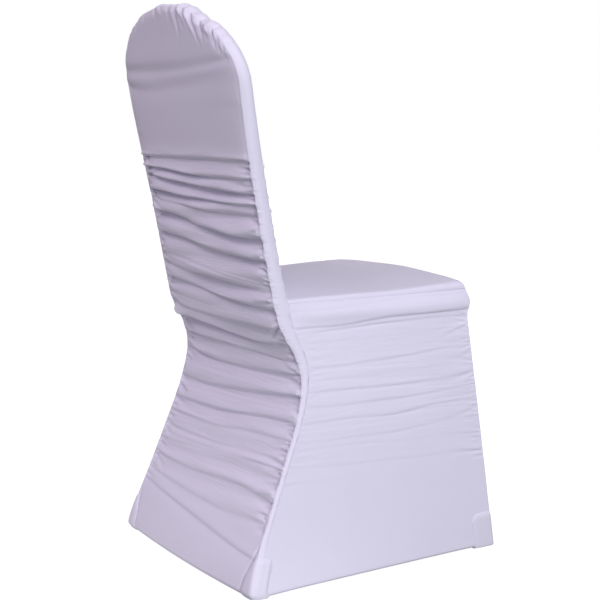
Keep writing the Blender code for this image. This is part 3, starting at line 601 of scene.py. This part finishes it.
right_leg, left_leg = slice(0, len(leg)), slice(len(leg) + len(turn), None)
follow = np.interp(arch_degrees, arch_angles, arch_waves)
follow[right_leg] = np.interp(level[right_leg], seam_heights, seam_waves[RIGHT])
follow[left_leg] = np.interp(level[left_leg], seam_heights, seam_waves[LEFT])
band_points[..., 1] += follow[:, None] * (1 - band_share)**3
to_seam = np.minimum(band_share, 1 - band_share) * width[:, None]
band_tuck = lip_depth(to_seam) + edge_turn(band_share.shape[1])[None, :]
towards = np.where(band_share < 0.5, -slant, slant)
band_points += band_out[:, None] * (band_relief - slant * band_tuck)[..., None]
band_points[..., 1] += towards * band_tuck
edge_band = sew("edge_band_strip", band_points, band_out[:, None], white_knit, 0.15 * pulled[:, None])
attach(edge_band, "root")
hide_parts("edge_band")

# Inner panel. The face of the backrest that is leant on: the same knit, gathered between the seat
# and the pad's upper part and plain above, sewn to the band's front seam and to the seat panel.
pad_stations = np.array([  # height, how far the padding stands forward of the band's front seam
    (0.460, 0.012), (0.540, 0.021), (0.680, 0.024), (0.780, 0.021), (0.825, 0.019), (0.950, 0.014)])
seat_edge, seat_rear_crown = 0.470, 0.010
inner_creases = np.array([
    (0.497, 0.499, 0.500, 0.503, 0.503, 2.6, 2.0, 2.4, 3.2),
    (0.521, 0.519, 0.515, 0.514, 0.516, 3.0, 2.6, 2.2, 3.0),
    (0.543, 0.545, 0.549, 0.548, 0.549, 2.2, 3.0, 3.0, 3.0),
    (0.568, 0.569, 0.566, 0.564, 0.566, 3.4, 1.8, 2.4, 3.2),
    (0.590, 0.592, 0.596, 0.597, 0.598, 2.6, 3.0, 3.2, 2.8),
    (0.615, 0.614, 0.611, 0.610, 0.612, 3.4, 2.4, 2.0, 3.0),
    (0.637, 0.640, 0.644, 0.645, 0.644, 3.0, 3.0, 3.0, 2.8),
    (0.662, 0.662, 0.659, 0.657, 0.659, 2.4, 1.8, 2.8, 3.0),
    (0.688, 0.690, 0.693, 0.694, 0.692, 2.8, 2.4, 2.2, 3.0)])


def inner_face(over, height, half_width, fade):
    """The backrest's padded inner face: the band's front seam with the pad's crown in front of it."""
    width = smooth_along(band_stations, 1, np.minimum(height, shoulder))
    depth = smooth_along(rear_stations, 1, height) - width
    pad = smooth_along(pad_stations, 1, height) * (1 - over**4) * fade
    return np.stack(np.broadcast_arrays(half_width * over, depth - pad, height), axis=-1)


def eased(relief, to_seam):
    """Relief held down to three tenths at a seam, and whole from 3.2 mm away."""
    return relief * (0.3 + 0.7 * step_up(to_seam, 0.0, 0.0032))


rng = np.random.default_rng(37)
over = panel_columns(nominal_half, 72)
share = (over + 1) / 2
angle = np.arccos(-over)
arch = band_front_arch(angle)[:, 2]
seat_line = seat_edge + seat_rear_crown * (1 - over**4)
edge_low = seat_line[None, :] + lip_distance[:, None]
gathered_rows = crease_rows(inner_creases, share, seat_line + lip_end, gather_top, 0.0019)
upper_rows = gather_top + (arch - lip_end - gather_top) * np.linspace(0, 1, 36)[1:, None]
edge_rows = arch - lip_distance[::-1][:, None]
height = np.vstack([edge_low, gathered_rows, upper_rows, edge_rows])
crown = np.clip((height - gather_top) / (arch - gather_top), 0, 1)
level = np.minimum(height, shoulder)
half_width = smooth_along(rear_stations, 2, level) + smooth_along(band_stations, 2, level)
inner_points = inner_face(over, height, half_width, 1 - crown**3)
to_side = half_width * (1 - np.abs(over))
to_arch = below_arch(arch - height, angle)
to_seam = np.minimum(np.minimum(to_side, to_arch), height - seat_line)
ruched = step_up(height, 0.478, 0.50) * (1 - step_up(height, 0.695, 0.712))
relief = creased(rng, height, share, inner_creases)
relief += ruched * faint_creases(rng, height, share, low=0.48, high=0.70, count=60, depth=0.0011,
                                 slope=lambda place: 0.0)
for side in (RIGHT, LEFT):
    to_this = half_width * (1 - side * over)
    relief += seam_gathers(rng, to_this, height, low=0.485, high=0.702, spacing=0.0066, depth=0.0022,
                           lean=0.0)
for degrees, deep, wide, reach in crown_puckers[:, :4]:
    off = (over + np.cos(np.radians(degrees))) * crown_half * 1000 / wide
    relief -= deep * 0.0006 * np.exp(-off**2) * np.exp(-(to_arch * 1000 / reach)**2) * (crown > 0)
inner_points = raised(inner_points, eased(relief, to_seam), np.array([0, -1, 0]))
at_seat = (height - seat_line < 0.0040)[..., None]
inward = np.where(at_seat, np.array([0, slant, -slant]), inward_of(over, angle, height, 1))
inner_points += inward * tucked(to_seam, edge_turn(len(over)), edge_turn(len(height)))[..., None]
inner_points[..., 0] += crown_sway * (crown**2 * np.sin(angle))**2
inner_panel = sew("inner_panel", inner_points, np.array([0, -1, 0]), white_knit, ruched)
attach(inner_panel, "root")
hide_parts("front_panel")

# Seat panel. Plain knit stretched over the crowned seat pad, rounded down at its edges, where a
# fine turned-in seam joins it to the skirts.
front_stations = np.array([  # height, depth, half width, bow of the front skirt
    (0.000, -0.2540, 0.2040, 0.000), (0.200, -0.2225, 0.2045, 0.002), (0.340, -0.1995, 0.2050, 0.005),
    (0.400, -0.1895, 0.2050, 0.008), (0.427, -0.1865, 0.2050, 0.010), (0.450, -0.1905, 0.2055, 0.013),
    (0.470, -0.1845, 0.2005, 0.012)])
seat_half, seat_crown, seat_side_round, seat_dome = 0.2025, 0.0045, 0.0072, 0.0060
seat_front_reach, seat_side_bow, seat_corner = 0.013, 0.004, 0.19


def pad_edge(distance, reach):
    """Quarter-round edge of the seat pad: 0 at the seam's turned-in edge, 1 past the pad's rounding."""
    return np.sqrt(np.maximum(1 - (1 - np.clip((distance - lip_distance[2]) / reach, 0, 1))**2, 0))


def front_seam(side, height):
    """Seam between a side skirt and the front skirt."""
    half = side * smooth_along(front_stations, 2, height)
    return np.stack([half, smooth_along(front_stations, 1, height), height], axis=-1)


rng = np.random.default_rng(41)
over = panel_columns(nominal_half, 70)[None, :]
run = (panel_columns(0.17, 64)[:, None] + 1) / 2
to_side = np.broadcast_to(seat_half * (1 - np.abs(over)), (len(run), over.shape[1]))
side_rise = seat_side_round * pad_edge(to_side, 0.0045) + seat_dome * (1 - over**2)
rear_heights = seat_edge + seat_rear_crown * (1 - over[0]**4)
raised_rear = rear_heights + 0.8 * side_rise[0]
rear_line = inner_face(over[0], raised_rear, np.abs(band_front(RIGHT, raised_rear)[:, 0]), 1.0)
rear_line[:, 1] += 0.003 * (1 - over[0]**8)
rear_line[:, 2] = rear_heights
corner = front_seam(RIGHT, np.array([seat_edge]))[0]
front_line = np.stack([np.abs(corner[0]) * over[0], corner[1] - front_stations[-1, 3] * (1 - over[0]**4),
                       np.full_like(over[0], seat_edge)], axis=-1)
seat_points = rear_line[None] * (1 - run[..., None]) + front_line[None] * run[..., None]
length = np.linalg.norm(front_line - rear_line, axis=1)[None]
to_front = (1 - run) * length
to_rear = run * length
seat_points[..., 2] += seat_crown * (1 - over**2) * (1 - (2 * run - 1)**2)
side_rise += 0.0060 * step_up(run, 0.45, 0.95) * pad_edge(to_side, 0.012)
front_round = pad_edge(to_front, seat_front_reach)
seat_points[..., 2] += side_rise * front_round * (0.8 + 0.2 * pad_edge(to_rear, 0.03))
far_corner = np.hypot(seat_points[..., 0] - seat_corner, to_front - 0.01)
seat_points[..., 2] -= 0.0015 * bell(far_corner, 0, 0.085) * pad_edge(np.minimum(to_side, to_front), 0.026)
rear_corner = np.hypot(seat_points[..., 0] - seat_corner, to_rear)
seat_points[..., 2] -= 0.0075 * bell(rear_corner, 0, 0.150) * pad_edge(to_side, 0.040)
seat_points[..., 0] += seat_side_bow * over * (1 - (2 * run - 1)**4)
seat_relief = 0.0006 * np.sin(seat_points[..., 0] * 34 + 2.0) * np.sin(seat_points[..., 1] * 27 + 0.6)
for side in (RIGHT, LEFT):
    for _ in range(9):
        lean = rng.uniform(0.5, 1.3)
        start = rng.uniform(0.004, 0.060)
        off = (to_front - start - lean * seat_half * (1 - side * over)) / rng.uniform(0.0022, 0.0040)
        seat_relief -= 0.0006 * rng.uniform(0.4, 1) * np.exp(-off**2) * np.exp(-((1 - side * over) / 0.22)**2)
seat_relief *= step_up(np.minimum(to_side, to_front), 0, 0.004)
seat_points = raised(seat_points, seat_relief, np.array([0, 0, 1]))
to_seam = np.minimum(np.minimum(to_side, to_front), to_rear)
tuck = tucked(to_seam, edge_turn(over.shape[1]), edge_turn(len(run)))
at_side, at_front = (to_side <= to_seam + 1e-9), (to_front <= to_seam + 1e-9)
inward = np.zeros(seat_points.shape)
inward[..., 0] = np.where(at_side, -np.sign(over), 0)
inward[..., 1] = np.where(at_front & ~at_side, 1, np.where(at_side, 0, -0.1))
inward[..., 2] = np.where(at_side | at_front, -0.15, -1)
seat_points += inward * tuck[..., None]
seat_panel = sew("seat_top", seat_points, np.array([0, 0, 1]), white_knit, 0.04)
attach(seat_panel, "root")
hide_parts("seat_panel")

# Side skirts. Each hangs from the seat panel between the edge band and the front corner seam. The
# knit is gathered a little at both seams, so shallow creases run across it below the pad's edge,
# and it is stretched smooth towards the hem.
pad_bulge, pad_middle, pad_half = 0.0060, 0.449, 0.016
skirt_plain_top, skirt_row, corner_reach = 0.135, 0.0019, 0.01
side_creases = np.array([
    (0.1790, 0.1700, 0.1640, 0.1600, 0.1580, 0.5, 0.1, 0.1, 2.4),
    (0.2045, 0.1960, 0.1900, 0.1850, 0.1810, 0.7, 0.5, 0.4, 2.8),
    (0.2310, 0.2260, 0.2220, 0.2190, 0.2170, 0.8, 0.2, 0.2, 2.4),
    (0.2450, 0.2390, 0.2367, 0.2430, 0.2445, 0.9, 0.8, 0.7, 2.5),
    (0.2755, 0.2710, 0.2667, 0.2750, 0.2765, 1.3, 1.6, 1.1, 2.5),
    (0.2985, 0.2945, 0.2950, 0.2985, 0.3020, 0.9, 1.4, 1.0, 2.3),
    (0.3225, 0.3193, 0.3187, 0.3193, 0.3210, 0.9, 1.9, 0.9, 2.3),
    (0.3410, 0.3400, 0.3405, 0.3420, 0.3440, 0.4, 0.5, 0.3, 2.6),
    (0.3615, 0.3607, 0.3643, 0.3710, 0.3740, 1.3, 1.7, 0.4, 2.4),
    (0.4050, 0.4040, 0.4020, 0.4040, 0.4080, 0.9, 0.1, 0.9, 2.6),
    (0.4200, 0.4210, 0.4252, 0.4272, 0.4240, 0.3, 2.4, 1.8, 2.0),
    (0.4280, 0.4297, 0.4343, 0.4352, 0.4340, 1.2, 4.0, 4.2, 2.2),
    (0.4570, 0.4590, 0.4625, 0.4640, 0.4645, 0.7, 0.9, 0.1, 1.6)])


def skirt_grid(creases, share):
    """Row heights of a skirt: hem, plain part, creases, pad edge and the turned-in top. The hem's are given
    too."""
    hem = hem_height + 0.0026 * np.clip(1 - np.abs(2 * share - 1)**6, 0, 1)
    gathered = crease_rows(creases, share, skirt_plain_top, seat_edge - lip_end, skirt_row)
    low = hem + (skirt_plain_top - hem) * np.linspace(0, 1, 40)[:-1, None]
    edge = np.broadcast_to(seat_edge - lip_distance[::-1][:, None], (len(lip_distance), len(share)))
    return np.vstack([low, gathered, edge]), hem


def skirt_gathers(height):
    """Where a skirt is gathered: from its middle up to the pad's edge."""
    return step_up(height, 0.17, 0.24) * (1 - step_up(height, 0.425, 0.440))


def hem_fold(height, hem):
    """Turned hem: slightly thicker for 10 mm, with the groove of its stitching above it."""
    rise = height - hem
    return 0.0003 * (1 - step_up(rise, 0.009, 0.011)) - 0.0001 * bell(rise, 0.0115, 0.0008)


def hung(points, relief, to_seam, height, hem, outward, inward):
    """A skirt's points moved out by its relief and turned hem, and in along its seams, least at the hem."""
    points = raised(points, eased(relief, to_seam) + hem_fold(height, hem), outward)
    tuck = tucked(to_seam, edge_turn(height.shape[1]), top_turn(len(height)))
    tuck[0] *= 0.1
    return points + np.stack(np.broadcast_arrays(*inward, 0 * height), axis=-1) * tuck[..., None]


def side_surface(side, run, height):
    """Ruled between the band's front seam and the front corner seam, with the seat pad's edge behind it."""
    rear, front = band_front(side, height), front_seam(side, height)
    points = rear * (1 - run[..., None]) + front * run[..., None]
    bulge = 1 - (2 * run - 1)**4
    pad = pad_bulge * bell(height, pad_middle, pad_half) + seat_side_bow * (height / seat_edge)**3
    points[..., 0] += side * pad * bulge
    return points


for side, name, node, seed in ((RIGHT, "side_skirt_of_the_right", "side_skirt_right", 53),
                               (LEFT, "side_skirt_of_the_left", "side_skirt_left", 59)):
    rng = np.random.default_rng(seed)
    creases = side_creases.copy()
    if side == LEFT:
        creases[:, :5] += (0.004 * np.sin(2.1 * np.arange(len(creases))))[:, None]
    run = (panel_columns(nominal_half, 66) + 1) / 2
    height, hem = skirt_grid(creases, run)
    skirt_points = side_surface(side, np.broadcast_to(run, height.shape), height)
    length = np.linalg.norm(front_seam(side, height) - band_front(side, height), axis=-1)
    to_rear, to_front, to_top = run * length, (1 - run) * length, seat_edge - height
    ruched = skirt_gathers(height)
    relief = 0.56 * creased(rng, height, run, creases, lip=0.46)
    relief *= 1 - 0.35 * step_up(run, 0.55, 1.0) * (height < 0.415)
    relief += ruched * faint_creases(rng, height, run, low=0.19, high=0.425, count=40, depth=0.0003,
                                     slope=lambda place: -0.012)
    relief += 0.55 * seam_gathers(rng, to_rear, height, low=0.17, high=0.43, spacing=0.0075, depth=0.0012,
                                  lean=0.0)
    relief += seam_gathers(rng, to_front, height, low=0.17, high=0.445, spacing=0.0072, depth=0.0016,
                           lean=-0.05)
    near_corner = bell(to_front, 0, 0.030)
    for k, drop in enumerate((0.418, 0.411, 0.423)):
        line = drop + 0.25 * to_front
        relief -= 0.0022 * (1 - 0.2 * k) * bell(height, line, 0.0022) * near_corner
    to_seam = np.minimum(np.minimum(to_rear, to_front), to_top)
    at_corner = to_front < corner_reach
    inward = -side * np.where(at_corner, slant, 1), np.where(at_corner, slant, 0)
    skirt_points = hung(skirt_points, relief, to_seam, height, hem, np.array([side, 0, 0]), inward)
    skirt = sew(name, skirt_points, np.array([side, 0, 0]), white_knit, 0.5 * ruched)
    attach(skirt, "root")
    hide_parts(node)

# Front skirt. The fourth wall of the skirt, gathered the same way between the two front corner
# seams and bowed forward by the seat pad.
apron_creases = np.array([
    (0.182, 0.184, 0.187, 0.190, 0.190, 0.9, 1.2, 0.9, 2.8),
    (0.226, 0.224, 0.220, 0.219, 0.219, 1.2, 1.6, 1.1, 2.6),
    (0.256, 0.257, 0.261, 0.262, 0.262, 1.4, 1.3, 1.4, 2.5),
    (0.287, 0.286, 0.283, 0.282, 0.283, 1.4, 1.7, 1.2, 2.5),
    (0.316, 0.317, 0.320, 0.321, 0.321, 1.7, 1.5, 1.6, 2.4),
    (0.345, 0.344, 0.341, 0.340, 0.340, 1.1, 1.6, 1.4, 2.5),
    (0.370, 0.372, 0.375, 0.376, 0.376, 1.6, 1.2, 1.6, 2.5),
    (0.398, 0.397, 0.394, 0.393, 0.394, 1.1, 1.5, 1.2, 2.5),
    (0.427, 0.4275, 0.427, 0.4265, 0.427, 2.4, 2.6, 2.4, 2.6)])
rng = np.random.default_rng(67)
over = panel_columns(nominal_half, 66)
share = (over + 1) / 2
height, hem = skirt_grid(apron_creases, share)
corner = front_seam(LEFT, height)
bow = smooth_along(front_stations, 3, height) * (1 - over**4)
apron_points = np.stack([corner[..., 0] * over, corner[..., 1] - bow, height], axis=-1)
half_width = corner[..., 0]
ruched = skirt_gathers(height)
relief = creased(rng, height, share, apron_creases, lip=0.34)
relief += ruched * faint_creases(rng, height, share, low=0.19, high=0.425, count=60, depth=0.0006,
                                 slope=lambda place: 0.0)
for side in (RIGHT, LEFT):
    relief += seam_gathers(rng, half_width * (1 - side * over), height, low=0.17, high=0.445, spacing=0.0072,
                           depth=0.0016, lean=0.0)
to_corner = half_width * (1 - np.abs(over))
at_corner = to_corner < corner_reach
inward = -np.sign(over) * np.where(at_corner, slant, 0), np.where(at_corner, slant, 1)
apron_points = hung(apron_points, relief, np.minimum(to_corner, seat_edge - height), height, hem,
                    np.array([0, -1, 0]), inward)
front_apron = sew("front_apron", apron_points, np.array([0, -1, 0]), white_knit, 0.5 * ruched)
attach(front_apron, "root")
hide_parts("front_skirt")

# Foot pockets. A patch of doubled knit sewn round each bottom corner and under the chair's foot,
# so that the hem stays down. Its top edge is turned in and its corners are rounded.
pocket_cloth, pocket_gap, sole_height = 0.0014, 0.00035, 0.0002
pocket_knit = knit("pocket_knit_doubled", (0.785, 0.758, 0.918), 3)


def rear_foot(side, height):
    """Plan path round a rear corner: rear panel, edge band, side skirt; one point per column."""
    rear, front = rear_seam(side, height), band_front(side, height)
    forward = front_seam(side, height) - front
    forward = forward / np.linalg.norm(forward)
    back_reach, side_reach = pocket_reach(height), 0.020
    full = smooth_along(rear_stations, 3, height)
    xs = rear[0] - side * back_reach * np.linspace(1, 0, 12)
    backs = np.stack([xs, rear[1] + full * (1 - (xs / rear[0])**2)], axis=-1)
    bands = rear[:2] + (front[:2] - rear[:2]) * np.linspace(0, 1, 8)[1:, None]
    sides = front[:2] + forward[:2] * side_reach * np.linspace(0, 1, 12)[1:, None]
    return np.vstack([backs, bands, sides])


def front_foot(side, height):
    """Plan path round a front corner: side skirt, then front skirt."""
    corner, front = front_seam(side, height), band_front(side, height)
    back = (front - corner) / np.linalg.norm(front - corner)
    side_reach, front_reach = 0.044, 0.030
    sides = corner[:2] + back[:2] * side_reach * np.linspace(1, 0, 18)[:, None]
    fronts = corner[:2] - np.array([side * front_reach, 0]) * np.linspace(0, 1, 14)[1:, None]
    return np.vstack([sides, fronts])


feet = (("foot_pocket_rear_right", RIGHT, rear_foot), ("foot_pocket_rear_left", LEFT, rear_foot),
        ("foot_pocket_front_right", RIGHT, front_foot), ("foot_pocket_front_left", LEFT, front_foot))
for name, side, foot in feet:
    levels = np.concatenate([np.linspace(pocket_top, 0.004, 26), [0.0022, 0.0010, 0.0004]])
    path = np.stack([foot(side, level) for level in np.maximum(levels, hem_height)])
    kernel = np.array([1, 2, 3, 2, 1]) / 9
    padded_path = np.pad(path, ((0, 0), (2, 2), (0, 0)), mode="edge")
    rounded = sum(kernel[k] * padded_path[:, k:k + path.shape[1]] for k in range(5))
    rounded[:, [0, 1, -2, -1]] = path[:, [0, 1, -2, -1]]
    tangent = np.gradient(rounded, axis=1)
    normal = np.stack([tangent[..., 1], -tangent[..., 0]], axis=-1)
    normal /= np.linalg.norm(normal, axis=2, keepdims=True)
    normal *= np.sign((rounded * normal).sum())
    across = np.linspace(-1, 1, path.shape[1])
    clearance = pocket_cloth + pocket_gap + 0.0006 * (1 - across**4) + 0.0008 * bell(across, 0.74, 0.14)
    clearance = clearance[None, :] - 0.0016 * step_up(levels, pocket_top - 0.007, pocket_top)[:, None]
    clearance = clearance - (0.0016 if side == LEFT else 0.0011) * step_up(np.abs(across), 0.72, 1.0)[None, :]
    turned = np.minimum(levels / 0.004, 1)[:, None]
    clearance = clearance - 0.0016 * (1 - np.sqrt(1 - (1 - turned)**2))
    wall_xy = rounded + normal * clearance[..., None]
    corner_drop = 0.010 * np.abs(across)**6
    wall_z = levels[:, None] - corner_drop[None, :] * step_up(levels, 0.035, pocket_top)[:, None]
    wall = np.dstack([wall_xy, wall_z])
    end_x, end_y = (0, -1) if foot is rear_foot else (-1, 0)
    inner = np.array([wall[-1, end_x, 0], wall[-1, end_y, 1], sole_height])
    sole = wall[-1] + (inner - wall[-1]) * np.array([0.06, 0.3, 0.6, 0.9, 0.985])[:, None, None]
    sole[..., 2] = sole_height
    outward = np.append(normal.mean(axis=(0, 1)), -0.2)
    pocket = sew(name + "_patch", np.vstack([wall, sole]), outward, pocket_knit, 0.08, pocket_cloth)
    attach(pocket, "root")
    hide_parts(name)

# Studio. A pale floor that runs into a white background, a broad soft light low on the right, a weaker
# one high behind the chair, and a soft sky that is brighter above than below, so that the rear panel
# stays in shade. The camera sees floor and background white; the cloth is lit by dimmer ones.
scene = bpy.context.scene
scene.view_settings.view_transform = "Standard"
scene.view_settings.look = "None"

floor_mesh = bpy.data.meshes.new("studio_floor")
floor_corners = 9.0 * np.array([(-1, -1, 0), (1, -1, 0), (1, 1, 0), (-1, 1, 0)])
floor_mesh.from_pydata(floor_corners.tolist(), [], [(0, 1, 2, 3)])
floor = bpy.data.objects.new("studio_floor", floor_mesh)
scene.collection.objects.link(floor)
pale = bpy.data.materials.new("pale_floor")
pale.use_nodes = True
tree = pale.node_tree
tree.nodes.remove(tree.nodes["Principled BSDF"])
seen = add_node(tree, "BsdfDiffuse", {"Color": (0.40, 0.40, 0.41, 1)})
lift = add_node(tree, "Emission", {"Color": (1, 1, 1, 1), "Strength": 0.92})
both = add_node(tree, "AddShader")
dim = add_node(tree, "Emission")
spot = add_node(tree, "TexCoord")
away = add_node(tree, "VectorMath", {1: (0.25, 0.6, 0)}, operation="DISTANCE")
fall_off = {"From Min": 0.30, "From Max": 0.95, "To Min": 0.55, "To Max": 0.03}
spread = add_node(tree, "MapRange", fall_off, interpolation_type="SMOOTHSTEP")
ray = add_node(tree, "LightPath")
pick = add_node(tree, "MixShader")
join_nodes(tree, (spot, "Object", away, 0), (away, "Value", spread, "Value"),
           (spread, "Result", dim, "Strength"), (seen, 0, both, 0), (lift, 0, both, 1),
           (ray, "Is Camera Ray", pick, "Fac"), (dim, 0, pick, 1), (both, 0, pick, 2),
           (pick, 0, tree.nodes["Material Output"], "Surface"))
floor_mesh.materials.append(pale)

world = bpy.data.worlds.new("studio")
scene.world = world
world.use_nodes = True
tree = world.node_tree
sky = tree.nodes["Background"]
direction = add_node(tree, "TexCoord")
split = add_node(tree, "SeparateXYZ")
climb = add_node(tree, "MapRange", {"From Min": -0.2, "From Max": 0.9}, interpolation_type="SMOOTHSTEP")
low_sky, high_sky = (0.18, 0.145, 0.175, 1), (0.53, 0.51, 0.54, 1)
blend = add_node(tree, "Mix", {6: low_sky, 7: high_sky}, data_type="RGBA")
backdrop = add_node(tree, "Background", {"Color": (1, 1, 1, 1)})
ray = add_node(tree, "LightPath")
pick = add_node(tree, "MixShader")
join_nodes(tree, (direction, "Generated", split, 0), (split, "Z", climb, "Value"),
           (climb, "Result", blend, "Factor"), (blend, 2, sky, "Color"), (ray, "Is Camera Ray", pick, "Fac"),
           (sky, 0, pick, 1), (backdrop, 0, pick, 2), (pick, 0, tree.nodes["World Output"], "Surface"))


def softbox(name, place, target, size, power, tint):
    """A square soft light aimed at a point."""
    data = bpy.data.lights.new(name, "AREA")
    data.shape = "SQUARE"
    data.size = size
    data.energy = power
    data.color = tint
    lamp = bpy.data.objects.new(name, data)
    lamp.location = place
    lamp.rotation_mode = "QUATERNION"
    lamp.rotation_quaternion = (Vector(target) - Vector(place)).to_track_quat("-Z", "Y")
    scene.collection.objects.link(lamp)


softbox("key", place=(-3.5, 0.7, 1.15), target=(0, 0, 0.5), size=2.0, power=90, tint=(0.965, 0.99, 0.995))
softbox("rear_fill", place=(0.3, 2.3, 3.0), target=(0, 0.1, 0.3), size=1.3, power=23, tint=(1.0, 0.84, 0.95))

# Camera. Behind the chair and to the sitter's right, looking down by about eight degrees, with its
# focal length in pixels of the photograph turned into millimetres on the sensor.
eye = Vector((-2.18399, 1.32797, 0.81542))
heading, dip = math.radians(121.0), math.radians(8.346)
focal_pixels, photo_pixels, sensor = 1447.744, 600, 36
aim = Vector((math.sin(heading) * math.cos(dip), math.cos(heading) * math.cos(dip), -math.sin(dip)))
camera_data = bpy.data.cameras.new("camera")
camera_data.lens = focal_pixels / photo_pixels * sensor
camera_data.sensor_width = sensor
camera = bpy.data.objects.new("camera", camera_data)
camera.location = eye
camera.rotation_mode = "QUATERNION"
camera.rotation_quaternion = aim.to_track_quat("-Z", "Y")
scene.collection.objects.link(camera)
scene.camera = camera
